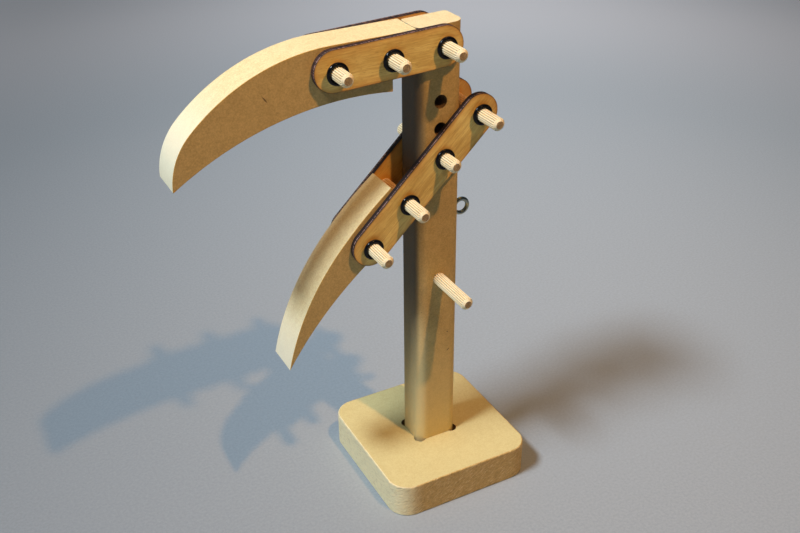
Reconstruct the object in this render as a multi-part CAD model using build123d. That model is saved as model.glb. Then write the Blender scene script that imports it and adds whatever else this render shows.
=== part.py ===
"""Lever-worked wooden jaw on a post.

A square base carries an upright post.  The upper claw is held to the top of the post by two
thin link plates and three fluted dowels, and its rear end butts on the post, so it can't turn.
The lower claw hangs below it between two longer plates.  They swing on a dowel through the post
and reach past it to a lever dowel, which is pulled down to raise the lower claw to the upper one.

Frame: origin at the centre of the base's underside, +Z up, claws pointing along -X, pivots
along Y.  "Near" is the -Y side and "far" is the +Y side.  Millimetres and degrees.
"""

import os
from math import acos, atan2, cos, degrees, hypot, radians, sin, sqrt

from build123d import *

# Base block
base_size = 76.0
base_thickness = 18.0
base_corner_radius = 10.5
base_edge_round = 0.6
relief_radius = 3.0          # cutter reliefs in the corners of the mortise
mortise_clearance = 0.1

# Post
post_width = 22.0            # along X
post_depth = 18.0            # along Y, the thickness of the board
post_edge_radius = 4.5
post_top_margin = 8.0        # from the upper pivot to the top of the post, on the claw's side
post_top_rise = 0.9          # the top is sawn a little out of square, higher at the back
post_top_round = 2.5         # sanded edge on the far side of the top

# Pivots and hole spacing, with the other holes in the post counted in pitches from the lower pivot
hole_pitch = 25.0
lower_pivot_height = 174.0
upper_pivot_pitches = 2.0
spare_hole_pitches = [0.5, 1.0]
peg_pitches = -2.5
spare_hole_radius = 3.1

# Fluted dowels, all cut from one stock
dowel_radius = 3.0
dowel_length = 50.0
dowel_chamfer = 1.1
flute_count = 18
flute_width = 0.62
flute_depth = 0.3
press_clearance = 0.02       # dowel in a hole that holds it
running_clearance = 0.08     # dowel in a hole that it turns in

# How far the near end of each dowel stands from the middle plane
upper_front_reach = 24.5
upper_middle_reach = 25.2
upper_post_reach = 26.5
lower_front_reach = 28.2
lower_heel_reach = 28.0
jaw_pivot_reach = 23.2
lever_reach = 28.0
peg_reach = 35.5

# Link plates
plate_width = 17.8
plate_thickness = 3.0
upper_plate_gap = 0.1        # fixed plates press on the post and the upper claw
lower_plate_gap = 0.3        # moving plates run clear of the post
upper_link_drop = 2.5        # angle of the upper plates below level
lower_link_drop = 44.2       # angle of the lower plates below level, jaw open

# Retaining rings, with a many-sided section that stands for the round one
ring_section_radius = 0.9
ring_section_sides = 8
ring_grip_gap = 0.02

# How far each ring is pushed on short of its plate: the far rings all alike, the near ones by hand
far_ring_gap = 0.25
upper_front_ring_gap = 2.0
upper_middle_ring_gap = 1.5
upper_post_ring_gap = 1.1
lower_front_ring_gap = 0.9
lower_heel_ring_gap = 1.2
jaw_pivot_ring_gap = 0.25
lever_ring_gap = 1.1

# Upper claw, measured from the upper pivot
claw_thickness = 18.0
butt_gap = 0.05
crown_radius = 86.8
crown_centre_x = -48.5
crown_height = 7.5
nose_radius = 31.2
nose_start_angle = 134.8
nose_end_angle = 180.7
upper_underside_rise = 8.9
neck_setback = 11.6          # from the post's face to the step behind the throat
neck_drop = 9.7              # from the pivot down to the underside of the neck
throat_drop = 16.4
neck_fillet = 1.8

# Lower claw, measured along its plates (s) and across them (h)
heel_gap = 0.3               # heel to post when the jaw rests open
heel_height = 9.8
back_mid_s = 44.0
back_mid_h = 10.6
back_end_s = 59.0
back_end_h = 9.9
lower_tip_s = 117.2
lower_tip_h = -10.2
belly_mid_s = 77.0
belly_mid_h = -5.3
belly_end_s = 41.0

# Screw eye in the back of the post
eye_height = 141.6
eye_ring_radius = 3.5
eye_wire_radius = 1.0
eye_standoff = 1.0           # from the post to the ring
eye_shank_radius = 0.9
eye_shank_depth = 9.0
eye_point_length = 2.5
eye_point_radius = 0.2

# Worked out from the values above
upper_pivot_height = lower_pivot_height + upper_pivot_pitches * hole_pitch
peg_height = lower_pivot_height + peg_pitches * hole_pitch
spare_hole_heights = [lower_pivot_height + pitches * hole_pitch for pitches in spare_hole_pitches]
post_top = upper_pivot_height + post_top_margin
post_face = post_width / 2
half_depth = post_depth / 2
half_plate = plate_width / 2
held_hole_radius = dowel_radius + press_clearance
pivot_bore_radius = dowel_radius + running_clearance

upper_link = Pos(0, 0, upper_pivot_height) * Rot(0, -upper_link_drop, 0)
lower_link = Pos(0, 0, lower_pivot_height) * Rot(0, -lower_link_drop, 0)

# Hole positions along each link, from its pivot towards the claw
upper_hole_positions = [2 * hole_pitch, hole_pitch, 0]
lower_hole_positions = [2 * hole_pitch, hole_pitch, 0, -hole_pitch]


def slab(outline, thickness, far_y):
    """Extrude an outline drawn in X and Z from far_y towards the near side."""
    side = Plane(origin=(0, far_y, 0), x_dir=(1, 0, 0), z_dir=(0, -1, 0))
    return extrude(side * outline, amount=thickness)


def cross_bore(x, z, radius, length):
    """Cylinder along Y, centred on the middle plane."""
    return Pos(x, 0, z) * Rot(90, 0, 0) * Cylinder(radius, length)


def make_base():
    block = extrude(RectangleRounded(base_size, base_size, base_corner_radius), base_thickness)
    rim = block.edges().group_by(Axis.Z)[-1]
    block = fillet(rim, base_edge_round)
    length_x = post_width + 2 * mortise_clearance
    length_y = post_depth + 2 * mortise_clearance
    inset = relief_radius / sqrt(2)
    mortise = Rectangle(length_x, length_y)
    reliefs = GridLocations(length_x - 2 * inset, length_y - 2 * inset, 2, 2)
    for spot in reliefs:
        mortise += spot * Circle(relief_radius)
    return block - extrude(mortise, base_thickness)


def post_blank():
    """Post without its holes, with round uprights, a slanting top and a sanded far top edge."""
    high_side = post_top + post_top_rise
    side_view = make_face(Polyline((-post_face, 0), (post_face, 0), (post_face, high_side),
                                   (-post_face, post_top), close=True))
    sawn = slab(side_view, post_depth, half_depth)
    far_top_edge = sawn.edges().group_by(Axis.Y)[-1].sort_by(Axis.Z)[-1]
    upright = extrude(RectangleRounded(post_width, post_depth, post_edge_radius), high_side)
    return upright & fillet(far_top_edge, post_top_round)


def make_post():
    post = post_blank()
    for hole_height in (upper_pivot_height, peg_height):
        post -= cross_bore(0, hole_height, held_hole_radius, post_depth)
    post -= cross_bore(0, lower_pivot_height, pivot_bore_radius, post_depth)
    for hole_height in spare_hole_heights:
        post -= cross_bore(0, hole_height, spare_hole_radius, post_depth)
    pilot_depth = eye_shank_depth + press_clearance
    pilot = Cylinder(eye_shank_radius + press_clearance, pilot_depth)
    return post - Pos(post_face - pilot_depth / 2, 0, eye_height) * Rot(0, 90, 0) * pilot


def link_plate(positions, gap, side):
    """Round-ended plate, pierced at each position, on the near (-1) or far (+1) side."""
    length = max(positions) - min(positions)
    middle = (max(positions) + min(positions)) / 2
    outline = Pos(-middle, 0) * SlotCenterToCenter(length, plate_width)
    for position in positions:
        outline -= Pos(-position, 0) * Circle(held_hole_radius)
    inner = half_depth + gap
    far_y = -inner if side < 0 else inner + plate_thickness
    return slab(outline, plate_thickness, far_y)


def upper_claw_outline():
    """Beak outline in X and Z, from the upper pivot."""
    rear = -post_face - butt_gap
    crown_centre_z = crown_height - crown_radius
    spine = crown_radius - nose_radius
    nose_x = crown_centre_x + spine * cos(radians(nose_start_angle))
    nose_z = crown_centre_z + spine * sin(radians(nose_start_angle))
    run = rear - crown_centre_x
    rise = post_top_margin - crown_centre_z
    tangent_angle = degrees(atan2(rise, run) + acos(crown_radius / hypot(run, rise)))
    crown = CenterArc((crown_centre_x, crown_centre_z), crown_radius, tangent_angle,
                      nose_start_angle - tangent_angle)
    nose = CenterArc((nose_x, nose_z), nose_radius, nose_start_angle,
                     nose_end_angle - nose_start_angle)
    tip = nose @ 1
    throat = Vector(rear - neck_setback, -throat_drop)
    chord = throat - tip
    across = Vector(-chord.Y, chord.X).normalized()
    middle = (tip + throat) * 0.5 + across * upper_underside_rise
    edges = [
        Line((rear, post_top_margin), crown @ 0),
        crown,
        nose,
        ThreePointArc(tip, middle, throat),
        Polyline(throat, (throat.X, -neck_drop), (rear, -neck_drop), (rear, post_top_margin)),
    ]
    return make_face(edges)


def make_upper_claw():
    claw = slab(upper_claw_outline(), claw_thickness, claw_thickness / 2)
    step_x = -post_face - butt_gap - neck_setback
    inner_corner = claw.edges().filter_by(Axis.Y).sort_by_distance((step_x, 0, -neck_drop))[0]
    claw = Pos(0, 0, upper_pivot_height) * fillet(inner_corner, neck_fillet)
    for position in upper_hole_positions[:2]:
        bore = upper_link * cross_bore(-position, 0, held_hole_radius, claw_thickness)
        claw -= bore
    return claw


def heel_distance():
    """Distance along the link at which the heel's lower corner just clears the post."""
    drop = radians(lower_link_drop)
    return (post_face + heel_gap + half_plate * sin(drop)) / cos(drop)


def lower_claw_outline():
    """Horn outline in the link's own frame, pointing along -X."""
    heel = heel_distance()
    back = ThreePointArc((-heel, heel_height), (-back_mid_s, back_mid_h), (-back_end_s, back_end_h))
    tip = (-lower_tip_s, lower_tip_h)
    edges = [
        back,
        TangentArc(back @ 1, tip, tangent=back % 1),
        ThreePointArc(tip, (-belly_mid_s, belly_mid_h), (-belly_end_s, -half_plate)),
        Polyline((-belly_end_s, -half_plate), (-heel, -half_plate), (-heel, heel_height)),
    ]
    return make_face(edges)


def make_lower_claw():
    claw = slab(lower_claw_outline(), claw_thickness, claw_thickness / 2)
    for position in lower_hole_positions[:2]:
        claw -= cross_bore(-position, 0, held_hole_radius, claw_thickness)
    return lower_link * claw


def fluted_dowel():
    """Dowel along Y with its near end at y = 0, chamfered at both ends."""
    section = Circle(dowel_radius)
    notch = Polygon((-flute_depth, 0), (flute_depth, flute_width), (flute_depth, -flute_width),
                    align=None)
    for spot in PolarLocations(dowel_radius, flute_count):
        section -= spot * notch
    grooved = extrude(section, dowel_length)
    envelope = Cylinder(dowel_radius, dowel_length, align=(Align.CENTER, Align.CENTER, Align.MIN))
    envelope = chamfer(envelope.edges().filter_by(GeomType.CIRCLE), dowel_chamfer)
    return Rot(-90, 0, 0) * (grooved & envelope)


def retaining_ring():
    """Ring that grips a dowel, lying across Y, with its section's flats against dowel and plate."""
    section = RegularPolygon(ring_section_radius, ring_section_sides, major_radius=False,
                             rotation=180 / ring_section_sides)
    centre_x = dowel_radius + ring_grip_gap + ring_section_radius
    return revolve(Pos(centre_x, 0) * section, Axis.Y)


def make_screw_eye():
    ring_x = post_face + eye_standoff + eye_wire_radius + eye_ring_radius
    shank_end = post_face - eye_shank_depth + eye_point_length
    shank_start = ring_x - eye_ring_radius
    shank_length = shank_start - shank_end
    ring = Pos(ring_x, 0, 0) * Rot(90, 0, 0) * Torus(eye_ring_radius, eye_wire_radius)
    shank = Rot(0, 90, 0) * Cylinder(eye_shank_radius, shank_length)
    point = Rot(0, -90, 0) * Cone(eye_shank_radius, eye_point_radius, eye_point_length)
    eye = ring + Pos((shank_start + shank_end) / 2, 0, 0) * shank
    eye += Pos(shank_end - eye_point_length / 2, 0, 0) * point
    return Pos(0, 0, eye_height) * eye


def make_fixed_parts():
    return {
        "base": make_base(),
        "post": make_post(),
        "upper_claw": make_upper_claw(),
        "upper_plate_near": upper_link * link_plate(upper_hole_positions, upper_plate_gap, -1),
        "upper_plate_far": upper_link * link_plate(upper_hole_positions, upper_plate_gap, 1),
        "screw_eye": make_screw_eye(),
        "post_peg": Pos(0, -peg_reach, peg_height) * fluted_dowel(),
    }


def make_jaw_parts():
    return {
        "lower_claw": make_lower_claw(),
        "lower_plate_near": lower_link * link_plate(lower_hole_positions, lower_plate_gap, -1),
        "lower_plate_far": lower_link * link_plate(lower_hole_positions, lower_plate_gap, 1),
    }


def make_ringed_dowels():
    """Each link's dowels, with a ring outside the plate at both ends."""
    links = [
        (upper_link, upper_plate_gap, [
            ("upper_front", upper_hole_positions[0], upper_front_reach, upper_front_ring_gap),
            ("upper_middle", upper_hole_positions[1], upper_middle_reach, upper_middle_ring_gap),
            ("upper_post", upper_hole_positions[2], upper_post_reach, upper_post_ring_gap)]),
        (lower_link, lower_plate_gap, [
            ("lower_front", lower_hole_positions[0], lower_front_reach, lower_front_ring_gap),
            ("lower_heel", lower_hole_positions[1], lower_heel_reach, lower_heel_ring_gap),
            ("jaw_pivot", lower_hole_positions[2], jaw_pivot_reach, jaw_pivot_ring_gap),
            ("lever", lower_hole_positions[3], lever_reach, lever_ring_gap)]),
    ]
    dowel = fluted_dowel()
    ring = retaining_ring()
    parts = {}
    for link, gap, rows in links:
        touching_y = half_depth + gap + plate_thickness + ring_section_radius
        far_y = touching_y + far_ring_gap
        for name, position, reach, near_ring_gap in rows:
            near_y = touching_y + near_ring_gap
            parts[name + "_dowel"] = link * Pos(-position, -reach, 0) * dowel
            parts[name + "_ring_near"] = link * Pos(-position, -near_y, 0) * ring
            parts[name + "_ring_far"] = link * Pos(-position, far_y, 0) * ring
    return parts


def main():
    os.makedirs("parts", exist_ok=True)
    parts = {**make_fixed_parts(), **make_jaw_parts(), **make_ringed_dowels()}
    for name, shape in parts.items():
        export_step(shape, "parts/" + name + ".step")


main()
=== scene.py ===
# %% [markdown]
# # A wooden jaw on a post
# This lesson dresses a small wooden jaw: two curved claws of fibreboard, held between plywood link
# plates on fluted dowels, with black rubber rings outside the plates. The upper claw is fixed and the
# lower one swings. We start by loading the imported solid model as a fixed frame. Every new piece is
# made in metres, in the place of the solid that it stands for, and rides on the same body.

# %% Load the frame
from math import acos, atan2, cos, degrees, hypot, pi, radians, sin, sqrt

import bmesh
import bpy
from mathutils import Matrix, Vector


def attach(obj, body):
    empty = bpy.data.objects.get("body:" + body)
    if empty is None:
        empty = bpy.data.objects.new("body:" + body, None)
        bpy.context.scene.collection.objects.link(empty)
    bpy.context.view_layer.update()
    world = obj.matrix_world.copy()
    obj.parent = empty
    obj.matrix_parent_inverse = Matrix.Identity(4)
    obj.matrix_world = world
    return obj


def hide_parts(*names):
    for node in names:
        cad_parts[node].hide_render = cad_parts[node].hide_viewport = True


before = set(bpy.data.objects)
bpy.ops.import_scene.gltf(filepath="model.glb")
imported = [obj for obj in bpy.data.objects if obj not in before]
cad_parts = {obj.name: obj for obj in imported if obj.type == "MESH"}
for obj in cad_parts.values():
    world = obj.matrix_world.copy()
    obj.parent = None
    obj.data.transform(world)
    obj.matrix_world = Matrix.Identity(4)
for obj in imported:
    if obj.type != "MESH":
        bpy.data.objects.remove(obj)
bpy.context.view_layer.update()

# %% [markdown]
# ## Camera
# The camera looks down at the object from the left front. We give it as a place, a turn about the
# upright axis, a tilt and a small roll, because those four are easy to read and to change. A
# photograph 800 pixels wide with a focal length of 1027 pixels is a 46 mm lens on a 36 mm film.

# %% Camera
FILM_WIDTH = 36.0
PHOTO_WIDTH = 800
FOCAL_PIXELS = 1027.06
CAMERA_PLACE = (-0.20714, -0.36591, 0.35846)
HEADING = -27.613
TILT_DOWN = 30.236
ROLL = -0.641

lens = bpy.data.cameras.new("camera")
lens.sensor_width = FILM_WIDTH
lens.sensor_fit = "HORIZONTAL"
lens.lens = FILM_WIDTH * FOCAL_PIXELS / PHOTO_WIDTH
camera = bpy.data.objects.new("camera", lens)
bpy.context.scene.collection.objects.link(camera)
heading = Matrix.Rotation(radians(HEADING), 4, "Z")
tilt = Matrix.Rotation(radians(90 - TILT_DOWN), 4, "X")
roll = Matrix.Rotation(radians(ROLL), 4, "Z")
camera.matrix_world = Matrix.Translation(CAMERA_PLACE) @ heading @ tilt @ roll
bpy.context.scene.camera = camera
print("lens:", round(lens.lens, 2), "mm")

# %% [markdown]
# ## Light
# Three lamps light the object. A small warm one hangs above and in front, so it draws the shadows of
# the dowels on the plates and throws the claws' shadow to the left. A cool one stands far off on the
# left, and its soft shadow falls to the right. A wide weak panel overhead and a faint, even world fill
# what they miss. A disc lamp gives a round, natural highlight, and the cool one is a wide oval, which
# blurs the shadows of the claws more than those of the dowels. Its power comes from the brightness we
# want on a white card that faces it, so the numbers below can be read as shares of full light.

# %% Light
MIDDLE = (0, 0, 0.12)


def disc_lamp(name, place, size, share, tint):
    """A round or oval lamp, aimed at the object's middle, that gives a share of full light there."""
    away = Vector(place) - Vector(MIDDLE)
    lamp = bpy.data.lights.new(name, "AREA")
    lamp.shape = "ELLIPSE"
    lamp.size, lamp.size_y = size
    lamp.color = tint
    lamp.energy = pi * pi * away.length_squared * share
    holder = bpy.data.objects.new(name, lamp)
    bpy.context.scene.collection.objects.link(holder)
    holder.matrix_world = Matrix.Translation(place) @ away.to_track_quat("Z", "Y").to_matrix().to_4x4()
    print(name, round(lamp.energy, 2), "W at", round(away.length, 2), "m")


disc_lamp("warm_lamp", (0.104, -0.408, 0.910), (0.03, 0.03), 0.55, (1.0, 0.51, 0.18))
disc_lamp("cool_lamp", (-1.45, -0.13, 2.12), (0.62, 0.40), 1.05, (0.84, 0.90, 1.0))
disc_lamp("top_panel", (0.4, 0.9, 2.8), (2.4, 2.4), 0.05, (0.74, 0.88, 1.0))

world = bpy.data.worlds.new("world")
bpy.context.scene.world = world
world.use_nodes = True
background = world.node_tree.nodes["Background"]
background.inputs["Color"].default_value = (0.84, 0.94, 1.0, 1)
background.inputs["Strength"].default_value = 0.06

bpy.context.scene.view_settings.view_transform = "Standard"

# %% [markdown]
# ## Nodes, briefly
# Materials in this lesson are made from nodes. Writing each node out takes many lines, so small
# helpers do it. One adds any node and joins what it is given, and the others each name one common
# use: a sum, a mix of two colours, a stretch from one range of values to another, and so on.

# %% Node helpers
def add(tree, kind, settings=None, **inputs):
    """Add a node. Inputs are set to numbers and colours, or joined to other nodes' outputs."""
    made = tree.nodes.new(kind)
    for name, value in (settings or {}).items():
        setattr(made, name, value)
    for name, value in inputs.items():
        join(tree, value, made.inputs[name.replace("_", " ")])
    return made


def join(tree, value, socket):
    """Link an output to the socket, or set its value. A colour is given as three numbers."""
    if isinstance(value, bpy.types.NodeSocket):
        tree.links.new(value, socket)
    elif socket.type == "RGBA":
        socket.default_value = (*value, 1.0)
    else:
        socket.default_value = value


def sums(tree, operation, *values):
    made = tree.nodes.new("ShaderNodeMath")
    made.operation = operation
    for socket, value in zip(made.inputs, values):
        join(tree, value, socket)
    return made.outputs[0]


def mix(tree, share, first, second, mode="MIX"):
    made = tree.nodes.new("ShaderNodeMix")
    made.data_type = "RGBA"
    made.blend_type = mode
    made.clamp_factor = True
    for index, value in ((0, share), (6, first), (7, second)):
        join(tree, value, made.inputs[index])
    return made.outputs[2]


def stretch(tree, value, low, high, new_low=0.0, new_high=1.0, smooth=False):
    made = tree.nodes.new("ShaderNodeMapRange")
    made.interpolation_type = "SMOOTHSTEP" if smooth else "LINEAR"
    for index, item in enumerate((value, low, high, new_low, new_high)):
        join(tree, item, made.inputs[index])
    return made.outputs[0]


def noise(tree, place, scale, detail=3.0, roughness=0.55, distortion=0.0):
    made = add(tree, "ShaderNodeTexNoise", Vector=place, Scale=scale, Detail=detail,
               Roughness=roughness, Distortion=distortion)
    return made.outputs["Fac"]


def mapped(tree, place, kind="POINT", **moves):
    """The place after a Location, a Rotation and a Scale. TEXTURE undoes them instead."""
    return add(tree, "ShaderNodeMapping", {"vector_type": kind}, Vector=place, **moves).outputs[0]


def length(tree, vector):
    return add(tree, "ShaderNodeVectorMath", {"operation": "LENGTH"}, Vector=vector).outputs["Value"]


def coordinate(tree, place, axis):
    return add(tree, "ShaderNodeSeparateXYZ", Vector=place).outputs[axis]


def new_group(name, inputs, outputs):
    """An empty node group with named sockets. Returns the group, its inputs and its output node."""
    tree = bpy.data.node_groups.new(name, "ShaderNodeTree")
    for label, kind in inputs:
        tree.interface.new_socket(name=label, in_out="INPUT", socket_type="NodeSocket" + kind)
    for label, kind in outputs:
        tree.interface.new_socket(name=label, in_out="OUTPUT", socket_type="NodeSocket" + kind)
    return tree, tree.nodes.new("NodeGroupInput").outputs, tree.nodes.new("NodeGroupOutput")


def new_material(name):
    """A material with nodes. Returns it, its tree, its main shader and the Object coordinates."""
    material = bpy.data.materials.new(name)
    material.use_nodes = True
    tree = material.node_tree
    place = add(tree, "ShaderNodeTexCoord").outputs["Object"]
    return material, tree, tree.nodes["Principled BSDF"], place


def use_group(tree, group, **inputs):
    return add(tree, "ShaderNodeGroup", {"node_tree": group}, **inputs).outputs


def dress(tree, shader, tint, roughness, height, depth):
    """Give the shader its colour, its roughness, and bump from a height of that depth in metres."""
    join(tree, tint, shader.inputs["Base Color"])
    join(tree, roughness, shader.inputs["Roughness"])
    bump = add(tree, "ShaderNodeBump", Height=height, Distance=depth)
    join(tree, bump.outputs["Normal"], shader.inputs["Normal"])

# %% [markdown]
# ## Floor
# The object stands on plain grey studio paper. A flat sheet is enough. Lamps fade with distance, so
# the paper's own colour is made slightly paler further out, and the background stays even. The
# paper's wide soft shading at the sides is painted as one broad oval that is palest behind the
# object. Lengths in the code from here on are in millimetres times MM, or in metres.

# %% Floor
MM = 0.001
FLOOR_SIZE = 14.0
FLOOR_NEAR = 0.51
FLOOR_FAR = 0.88
OVAL_MIDDLE = (0.417, 0.572, 0)
OVAL_SIZE = (0.61, 1.38, 1)
OVAL_TURN = (0, 0, radians(-27.6))
OVAL_RIM_SHADE = 0.36
PAPER_NEAR = (0.505, 0.583, 0.626)
PAPER_FAR = (0.805, 0.834, 0.854)

bm = bmesh.new()
bmesh.ops.create_grid(bm, x_segments=2, y_segments=2, size=FLOOR_SIZE / 2)
floor_mesh = bpy.data.meshes.new("floor")
bm.to_mesh(floor_mesh)
bm.free()
floor = bpy.data.objects.new("floor", floor_mesh)
bpy.context.scene.collection.objects.link(floor)

paper, tree, shader, place = new_material("studio_paper")
reach = stretch(tree, length(tree, place), FLOOR_NEAR, FLOOR_FAR, smooth=True)
tint = mix(tree, reach, PAPER_NEAR, PAPER_FAR)
oval = mapped(tree, place, "TEXTURE", Location=OVAL_MIDDLE, Rotation=OVAL_TURN, Scale=OVAL_SIZE)
shading = stretch(tree, length(tree, oval), 0.0, 1.0, 1.0, OVAL_RIM_SHADE, smooth=True)
tint = mix(tree, 1.0, tint, shading, "MULTIPLY")
grit = noise(tree, place, 700, 4, 0.7)
tint = mix(tree, 0.07, tint, stretch(tree, grit, 0.35, 0.65), "OVERLAY")
dress(tree, shader, tint, 0.8, grit, 0.06 * MM)
floor.data.materials.append(paper)
print("floor:", FLOOR_SIZE, "m square")

# %% [markdown]
# ## Fibreboard
# The base, the post and both claws are cut from fibreboard, which is wood ground to fibre and pressed
# flat. Its face is an even brown, mottled at a few millimetres, speckled below one millimetre, with a
# few dark flecks of bark. Two sizes of noise and a thresholded cell pattern give those three. The
# effect is shared by all the board's finishes, so it is a node group.

# %% Fibre group
fibres, inputs, out = new_group(
    "board fibres", [("Place", "Vector")],
    [("Mottle", "Float"), ("Speckle", "Float"), ("Flecks", "Float")])
mottle = noise(fibres, inputs["Place"], 260, 5, 0.7)
speckle = noise(fibres, inputs["Place"], 1300, 4, 0.8)
wander = add(fibres, "ShaderNodeTexNoise", Vector=inputs["Place"], Scale=700.0, Detail=2.0)
offset = add(fibres, "ShaderNodeVectorMath", {"operation": "MULTIPLY_ADD"})
join(fibres, wander.outputs["Color"], offset.inputs[0])
join(fibres, (2.2 * MM, 2.2 * MM, 2.2 * MM), offset.inputs[1])
join(fibres, inputs["Place"], offset.inputs[2])
cells = add(fibres, "ShaderNodeTexVoronoi", Vector=offset.outputs[0], Scale=400.0, Randomness=1.0)
flecks = stretch(fibres, cells.outputs["Distance"], 0.04, 0.12, 1.0, 0.0, smooth=True)
join(fibres, mottle, out.inputs["Mottle"])
join(fibres, speckle, out.inputs["Speckle"])
join(fibres, flecks, out.inputs["Flecks"])
print("board fibres:", len(fibres.nodes), "nodes")

# %% [markdown]
# The face of the board and its cut edge look different. The pressed face is smooth and browner. The
# cut edge shows loose fibre, so it is paler, rougher and a little fuzzy. Those tones are also partly
# painted light: finishes on surfaces that look up, the claws' edges, the post's end and the base's
# face, are paler and cooler than those on surfaces that look sideways, so the base's face is paler
# than its sides. One function makes either, from two tones, the strength of the flecks and the depth
# of the fuzz. The base's sides are sawn coarsely, and get sloping lumps, with a painted highlight on
# the lumps and painted shade in the hollows between them. The post is painted darker up its left side
# and left corner, as painted shade under the claws, and paler at its foot and low on its front left
# corner, as painted light. The beak's nose and the base's left side fade towards white, partly from
# pale fibre and partly as a painted sheen where they face the cool lamp, and the horn's tip is
# painted paler as painted light. A few small nicks are thin ovals in a darker tone.

# %% Small marks on the board
# x, y and z of the middle, half length, half width, and turn in degrees
CLAW_NICK = (-78.7, -9.0, 214.6, 2.1, 0.35, 55)
TIP_CHIP = (-118.1, -9.0, 184.5, 1.1, 0.9, 0)
POST_NICKS = [(5.5, -9.0, 69.5, 1.1, 0.35, -40), (-9.0, -9.0, 95.0, 0.6, 0.5, 0),
              (5.0, -9.0, 80.0, 0.5, 0.4, 0)]
print("marks:", 2 + len(POST_NICKS))

# %% Board finishes
def board_finish(name, pale, dark, fleck_share, fuzz, lumps, extras):
    """Each extra is a mask, made from the tree and the place, and the colour that it lays on."""
    material, tree, shader, place = new_material(name)
    parts = use_group(tree, fibres, Place=place)
    tone = sums(tree, "MULTIPLY_ADD", parts["Speckle"], 0.7,
                sums(tree, "MULTIPLY", parts["Mottle"], 0.3))
    base = mix(tree, stretch(tree, tone, 0.40, 0.60), dark, pale)
    height = parts["Speckle"]
    base = mix(tree, sums(tree, "MULTIPLY", parts["Flecks"], fleck_share), base,
               (dark[0] * 0.4, dark[1] * 0.35, dark[2] * 0.3))
    for mask, laid_on in extras:
        base = mix(tree, mask(tree, place), base, laid_on)
    if lumps:
        sloping = mapped(tree, place, "TEXTURE", Rotation=(0, radians(-30), 0), Scale=(4.0, 4.0, 1.0))
        chips = noise(tree, sloping, 1500, 3, 0.65, 0.4)
        # Painted highlight on the tops of the lumps, and painted shade in the hollows between them.
        base = mix(tree, stretch(tree, chips, 0.54, 0.66, 0.0, 0.60), base, (1.0, 0.84, 0.46))
        hollow_shade = stretch(tree, chips, 0.48, 0.36, 0.0, 0.40)
        base = mix(tree, hollow_shade, base, (0.66, 0.55, 0.42), "MULTIPLY")
        height = sums(tree, "MULTIPLY_ADD", chips, lumps, height)
    dress(tree, shader, base, stretch(tree, parts["Speckle"], 0.3, 0.7, 0.78, 0.66), height, fuzz * MM)
    return material


def along(axis, start, end, share):
    """A mask that grows to a share from one X or Z to another, in millimetres."""
    def mask(tree, place):
        value = coordinate(tree, place, axis)
        return stretch(tree, value, start * MM, end * MM, 0.0, share, smooth=True)
    return mask


def both(first, second):
    """A mask where two masks overlap."""
    def mask(tree, place):
        return sums(tree, "MULTIPLY", first(tree, place), second(tree, place))
    return mask


def nick(x, y, z, half_length, half_width, turn):
    """A mask for a small nick, a thin oval that lies on a face that looks along Y."""
    def mask(tree, place):
        oval = mapped(tree, place, "TEXTURE", Location=(x * MM, y * MM, z * MM),
                      Rotation=(0, radians(turn), 0), Scale=(half_length * MM, MM, half_width * MM))
        return stretch(tree, length(tree, oval), 0.5, 1.0, 0.9, 0.0)
    return mask


NOSE_FIBRE_AND_SHEEN = (0.97, 0.93, 0.70)
HORN_LIT_PALE = (0.91, 0.84, 0.63)
DARK_NICK = (0.12, 0.07, 0.03)
CHIP_ORANGE = (0.72, 0.36, 0.06)
FOOT_PAINTED_LIGHT = (0.87, 0.665, 0.26)
CORNER_PAINTED_LIGHT = (0.92, 0.80, 0.43)
LEFT_SIDE_PAINTED_SHADE = (0.105, 0.085, 0.06)
BASE_SIDE_FIBRE_AND_SHEEN = (1.0, 0.94, 0.60)

claw_marks = [(nick(*CLAW_NICK), DARK_NICK), (nick(*TIP_CHIP), CHIP_ORANGE)]
# Painted light: the beak's nose is partly pale fibre and partly painted sheen, and the horn's tip is
# painted paler.
claw_fibre_and_light = [
    (along("X", -88, -118, 0.7), NOSE_FIBRE_AND_SHEEN),
    (both(along("X", -62, -80, 0.8), along("Z", 125, 100, 1.0)), HORN_LIT_PALE)]
# Painted light at the foot and low on the front left corner, painted shade up the left side and left
# corner under the claws, and small nicks.
post_marks_and_light = [
    (along("Z", 105, 20, 0.58), FOOT_PAINTED_LIGHT),
    (both(along("X", -4.5, -8.0, 0.4), along("Z", 150, 60, 1.0)), CORNER_PAINTED_LIGHT),
    (both(along("X", -9.3, -11.0, 0.92), along("Z", 25, 120, 1.0)), LEFT_SIDE_PAINTED_SHADE),
    (both(along("X", -6.0, -10.2, 0.85), along("Z", 100, 190, 1.0)), LEFT_SIDE_PAINTED_SHADE)]
post_marks_and_light += [(nick(*spot), DARK_NICK) for spot in POST_NICKS]
# The base's left side is partly pale fibre and partly painted sheen, where it faces the cool lamp.
base_fibre_and_sheen = [(along("X", -22, -37, 0.80), BASE_SIDE_FIBRE_AND_SHEEN)]

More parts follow.
